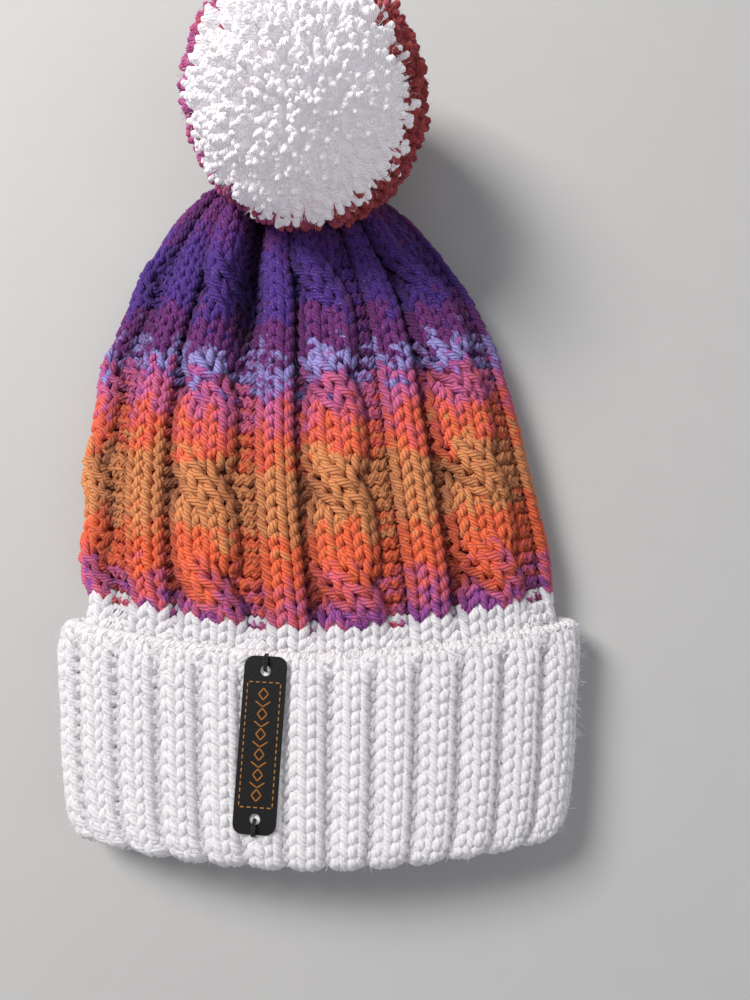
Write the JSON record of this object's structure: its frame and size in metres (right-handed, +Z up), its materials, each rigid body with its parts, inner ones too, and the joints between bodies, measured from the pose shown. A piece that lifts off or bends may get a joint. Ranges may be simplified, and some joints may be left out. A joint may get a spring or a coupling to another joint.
{
  "type": "bobble hat",
  "caption": "Cable-knit bobble hat lying flat, with a folded ribbed brim, a banded crown, a two-tone pompom and a leather strip label on the brim.",
  "frame": {"origin": "on the flat underside of the brim's back wall, at the middle of the brim's height, where the hat rests on its back", "axes": "+X to the right as seen from the front, +Y from the brim's fold to the pompom, +Z up, out of the hat's front"},
  "size_m": [0.1952, 0.3176, 0.0894],
  "materials": {
    "white_rib_knit": "soft white wool",
    "banded_cable_knit": "wool in bands of purple, rose, red-orange and tan",
    "white_pompom_yarn": "cut white yarn",
    "coloured_pompom_yarn": "cut yarn in rose, red and violet",
    "black_leather": "matte grained",
    "black_thread": "twisted thread"
  },
  "bodies": {
    "root": {"folded_brim": "white_rib_knit", "crown": "banded_cable_knit", "pompom_white_half": "white_pompom_yarn", "pompom_coloured_half": "coloured_pompom_yarn", "label": "black_leather", "label_thread_upper": "black_thread", "label_thread_lower": "black_thread"}
  },
  "joints": []
}
